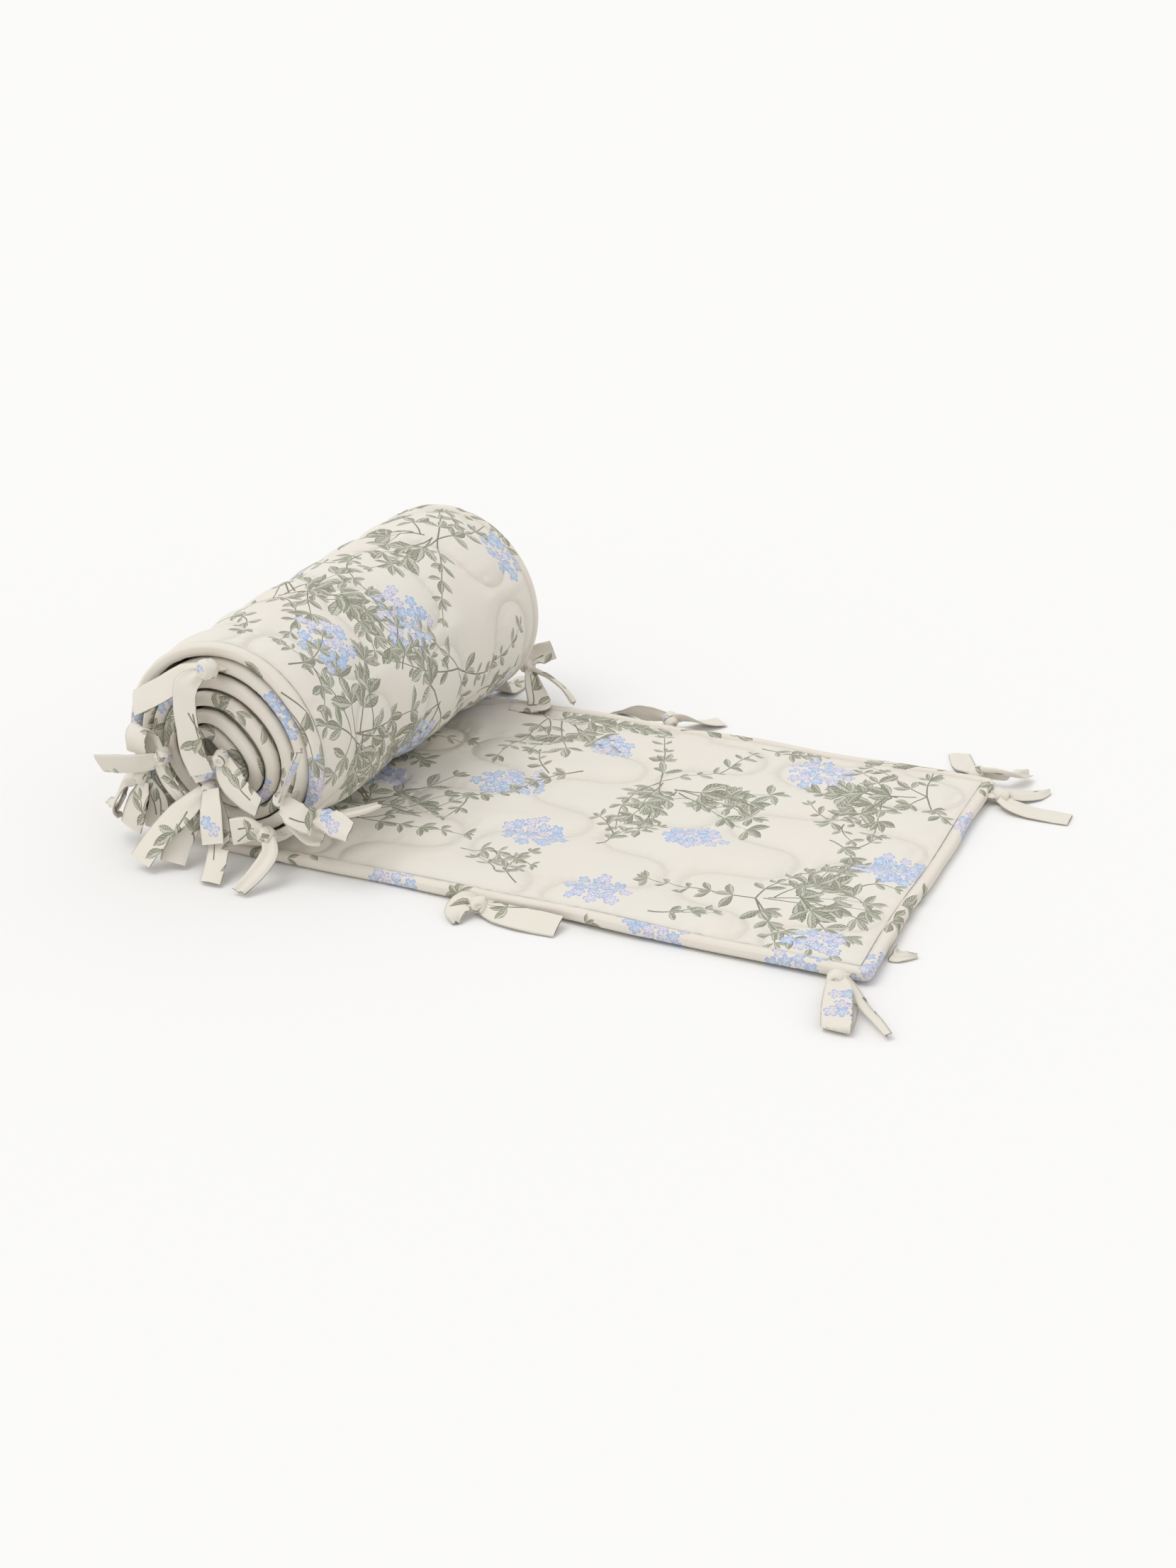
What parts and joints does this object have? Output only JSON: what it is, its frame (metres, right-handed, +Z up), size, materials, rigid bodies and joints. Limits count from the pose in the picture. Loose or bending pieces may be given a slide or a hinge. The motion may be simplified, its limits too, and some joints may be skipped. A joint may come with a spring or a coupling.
{
  "type": "crib bumper",
  "caption": "Long padded cloth bumper for a crib, quilted and printed, with a bound edge and knotted fabric ties, rolled up with one end lying flat.",
  "frame": {"origin": "on the surface it lies on, under the middle of the whole, ties included", "axes": "+X along the flat end away from the roll, +Y across the cloth from the edge with the most ties in view to the far edge, +Z up"},
  "size_m": [0.5818, 0.4132, 0.1533],
  "materials": {
    "quilted_cotton": "matt quilted cotton, cream ground with a sage leaf and pale blue flower print",
    "bound_edge": "matt cotton binding in the same print, lightly puckered along its seam",
    "tie_cloth": "matt folded cotton ties in the same print"
  },
  "bodies": {
    "root": {"binding": "bound_edge", "quilted_panel": "quilted_cotton", "tie_back_core": "tie_cloth", "tie_back_corner": "tie_cloth", "tie_back_left": "tie_cloth", "tie_back_low": "tie_cloth", "tie_back_low_left": "tie_cloth", "tie_back_low_right": "tie_cloth", "tie_back_right": "tie_cloth", "tie_back_second": "tie_cloth", "tie_back_top": "tie_cloth", "tie_end_back": "tie_cloth", "tie_end_front": "tie_cloth", "tie_front_core": "tie_cloth", "tie_front_corner": "tie_cloth", "tie_front_left": "tie_cloth", "tie_front_low": "tie_cloth", "tie_front_low_left": "tie_cloth", "tie_front_low_right": "tie_cloth", "tie_front_right": "tie_cloth", "tie_front_second": "tie_cloth", "tie_front_top": "tie_cloth"}
  },
  "joints": []
}
